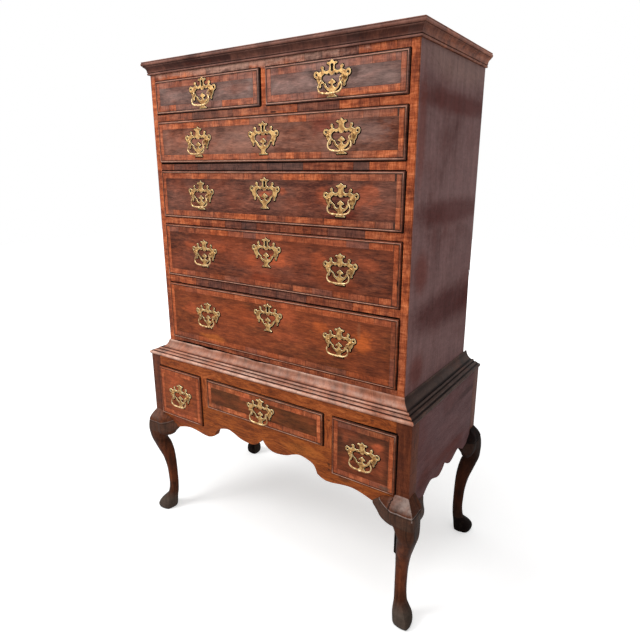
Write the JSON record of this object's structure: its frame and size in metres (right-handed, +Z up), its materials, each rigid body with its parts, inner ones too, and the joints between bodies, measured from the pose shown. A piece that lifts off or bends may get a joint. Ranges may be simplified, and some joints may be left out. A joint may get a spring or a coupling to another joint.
{
  "type": "highboy",
  "caption": "Walnut chest of drawers on a stand with shaped aprons and cabriole legs, moulded cornice and waist, lipped drawers and pierced brass plates with bails.",
  "frame": {"origin": "on the floor, midway between the four feet", "axes": "+X to the right as the front is seen, +Y to the back, +Z up"},
  "size_m": [1.1104, 0.6034, 1.643],
  "materials": {
    "walnut_veneer": "waxed, worn",
    "walnut": "waxed, dark",
    "oak": "bare, aged",
    "pine": "bare, aged",
    "brass": "old lacquered brass",
    "iron": "dark, aged"
  },
  "bodies": {
    "carcase": {"cornice": "walnut", "case_sides": "walnut_veneer", "case_boards": "oak", "case_back": "pine", "case_rails": "walnut_veneer", "waist_moulding": "walnut", "stand_front": "walnut_veneer", "stand_sides": "walnut_veneer", "stand_back": "pine", "stand_runners": "oak", "leg_front_left": "walnut", "leg_front_right": "walnut", "leg_back_left": "walnut", "leg_back_right": "walnut"},
    "short_left_drawer": {"short_left_front": "walnut_veneer", "short_left_box": "oak", "short_left_brasses": "brass"},
    "short_left_bail": {"short_left_bail": "brass"},
    "short_left_lock_bolt": {"short_left_lock_bolt": "iron"},
    "short_right_drawer": {"short_right_front": "walnut_veneer", "short_right_box": "oak", "short_right_brasses": "brass"},
    "short_right_bail": {"short_right_bail": "brass"},
    "short_right_lock_bolt": {"short_right_lock_bolt": "iron"},
    "long_first_drawer": {"long_first_front": "walnut_veneer", "long_first_box": "oak", "long_first_brasses": "brass"},
    "long_first_bail_left": {"long_first_bail_left": "brass"},
    "long_first_bail_right": {"long_first_bail_right": "brass"},
    "long_first_lock_bolt": {"long_first_lock_bolt": "iron"},
    "long_second_drawer": {"long_second_front": "walnut_veneer", "long_second_box": "oak", "long_second_brasses": "brass"},
    "long_second_bail_left": {"long_second_bail_left": "brass"},
    "long_second_bail_right": {"long_second_bail_right": "brass"},
    "long_second_lock_bolt": {"long_second_lock_bolt": "iron"},
    "long_third_drawer": {"long_third_front": "walnut_veneer", "long_third_box": "oak", "long_third_brasses": "brass"},
    "long_third_bail_left": {"long_third_bail_left": "brass"},
    "long_third_bail_right": {"long_third_bail_right": "brass"},
    "long_third_lock_bolt": {"long_third_lock_bolt": "iron"},
    "long_fourth_drawer": {"long_fourth_front": "walnut_veneer", "long_fourth_box": "oak", "long_fourth_brasses": "brass"},
    "long_fourth_bail_left": {"long_fourth_bail_left": "brass"},
    "long_fourth_bail_right": {"long_fourth_bail_right": "brass"},
    "long_fourth_lock_bolt": {"long_fourth_lock_bolt": "iron"},
    "stand_left_drawer": {"stand_left_front": "walnut_veneer", "stand_left_box": "oak", "stand_left_brasses": "brass"},
    "stand_left_bail": {"stand_left_bail": "brass"},
    "stand_centre_drawer": {"stand_centre_front": "walnut_veneer", "stand_centre_box": "oak", "stand_centre_brasses": "brass"},
    "stand_centre_bail": {"stand_centre_bail": "brass"},
    "stand_right_drawer": {"stand_right_front": "walnut_veneer", "stand_right_box": "oak", "stand_right_brasses": "brass"},
    "stand_right_bail": {"stand_right_bail": "brass"}
  },
  "joints": [
    {"name": "short_left_slide", "type": "slide", "parent": "carcase", "child": "short_left_drawer", "axis": [0, -1, 0], "range_m": [0, 0.36]},
    {"name": "short_left_bail_hinge", "type": "hinge", "parent": "short_left_drawer", "child": "short_left_bail", "pos_m": [-0.235, -0.2348, 1.5375], "axis": [-1, 0, 0], "range_deg": [0, 100]},
    {"name": "short_left_lock_bolt_slide", "type": "slide", "parent": "short_left_drawer", "child": "short_left_lock_bolt", "axis": [0, 0, 1], "range_m": [0, 0.008]},
    {"name": "short_right_slide", "type": "slide", "parent": "carcase", "child": "short_right_drawer", "axis": [0, -1, 0], "range_m": [0, 0.36]},
    {"name": "short_right_bail_hinge", "type": "hinge", "parent": "short_right_drawer", "child": "short_right_bail", "pos_m": [0.235, -0.2348, 1.5375], "axis": [-1, 0, 0], "range_deg": [0, 100]},
    {"name": "short_right_lock_bolt_slide", "type": "slide", "parent": "short_right_drawer", "child": "short_right_lock_bolt", "axis": [0, 0, 1], "range_m": [0, 0.008]},
    {"name": "long_first_slide", "type": "slide", "parent": "carcase", "child": "long_first_drawer", "axis": [0, -1, 0], "range_m": [0, 0.36]},
    {"name": "long_first_bail_left_hinge", "type": "hinge", "parent": "long_first_drawer", "child": "long_first_bail_left", "pos_m": [-0.2655, -0.2348, 1.396], "axis": [-1, 0, 0], "range_deg": [0, 100]},
    {"name": "long_first_bail_right_hinge", "type": "hinge", "parent": "long_first_drawer", "child": "long_first_bail_right", "pos_m": [0.2655, -0.2348, 1.396], "axis": [-1, 0, 0], "range_deg": [0, 100]},
    {"name": "long_first_lock_bolt_slide", "type": "slide", "parent": "long_first_drawer", "child": "long_first_lock_bolt", "axis": [0, 0, 1], "range_m": [0, 0.008]},
    {"name": "long_second_slide", "type": "slide", "parent": "carcase", "child": "long_second_drawer", "axis": [0, -1, 0], "range_m": [0, 0.36]},
    {"name": "long_second_bail_left_hinge", "type": "hinge", "parent": "long_second_drawer", "child": "long_second_bail_left", "pos_m": [-0.2655, -0.2348, 1.232], "axis": [-1, 0, 0], "range_deg": [0, 100]},
    {"name": "long_second_bail_right_hinge", "type": "hinge", "parent": "long_second_drawer", "child": "long_second_bail_right", "pos_m": [0.2655, -0.2348, 1.232], "axis": [-1, 0, 0], "range_deg": [0, 100]},
    {"name": "long_second_lock_bolt_slide", "type": "slide", "parent": "long_second_drawer", "child": "long_second_lock_bolt", "axis": [0, 0, 1], "range_m": [0, 0.008]},
    {"name": "long_third_slide", "type": "slide", "parent": "carcase", "child": "long_third_drawer", "axis": [0, -1, 0], "range_m": [0, 0.36]},
    {"name": "long_third_bail_left_hinge", "type": "hinge", "parent": "long_third_drawer", "child": "long_third_bail_left", "pos_m": [-0.2655, -0.2348, 1.043], "axis": [-1, 0, 0], "range_deg": [0, 100]},
    {"name": "long_third_bail_right_hinge", "type": "hinge", "parent": "long_third_drawer", "child": "long_third_bail_right", "pos_m": [0.2655, -0.2348, 1.043], "axis": [-1, 0, 0], "range_deg": [0, 100]},
    {"name": "long_third_lock_bolt_slide", "type": "slide", "parent": "long_third_drawer", "child": "long_third_lock_bolt", "axis": [0, 0, 1], "range_m": [0, 0.008]},
    {"name": "long_fourth_slide", "type": "slide", "parent": "carcase", "child": "long_fourth_drawer", "axis": [0, -1, 0], "range_m": [0, 0.36]},
    {"name": "long_fourth_bail_left_hinge", "type": "hinge", "parent": "long_fourth_drawer", "child": "long_fourth_bail_left", "pos_m": [-0.2655, -0.2348, 0.8298], "axis": [-1, 0, 0], "range_deg": [0, 100]},
    {"name": "long_fourth_bail_right_hinge", "type": "hinge", "parent": "long_fourth_drawer", "child": "long_fourth_bail_right", "pos_m": [0.2655, -0.2348, 0.8298], "axis": [-1, 0, 0], "range_deg": [0, 100]},
    {"name": "long_fourth_lock_bolt_slide", "type": "slide", "parent": "long_fourth_drawer", "child": "long_fourth_lock_bolt", "axis": [0, 0, 1], "range_m": [0, 0.008]},
    {"name": "stand_left_slide", "type": "slide", "parent": "carcase", "child": "stand_left_drawer", "axis": [0, -1, 0], "range_m": [0, 0.4]},
    {"name": "stand_left_bail_hinge", "type": "hinge", "parent": "stand_left_drawer", "child": "stand_left_bail", "pos_m": [-0.3786, -0.2853, 0.5195], "axis": [-1, 0, 0], "range_deg": [0, 100]},
    {"name": "stand_centre_slide", "type": "slide", "parent": "carcase", "child": "stand_centre_drawer", "axis": [0, -1, 0], "range_m": [0, 0.4]},
    {"name": "stand_centre_bail_hinge", "type": "hinge", "parent": "stand_centre_drawer", "child": "stand_centre_bail", "pos_m": [0, -0.2853, 0.5597], "axis": [-1, 0, 0], "range_deg": [0, 100]},
    {"name": "stand_right_slide", "type": "slide", "parent": "carcase", "child": "stand_right_drawer", "axis": [0, -1, 0], "range_m": [0, 0.4]},
    {"name": "stand_right_bail_hinge", "type": "hinge", "parent": "stand_right_drawer", "child": "stand_right_bail", "pos_m": [0.3786, -0.2853, 0.5195], "axis": [-1, 0, 0], "range_deg": [0, 100]}
  ]
}
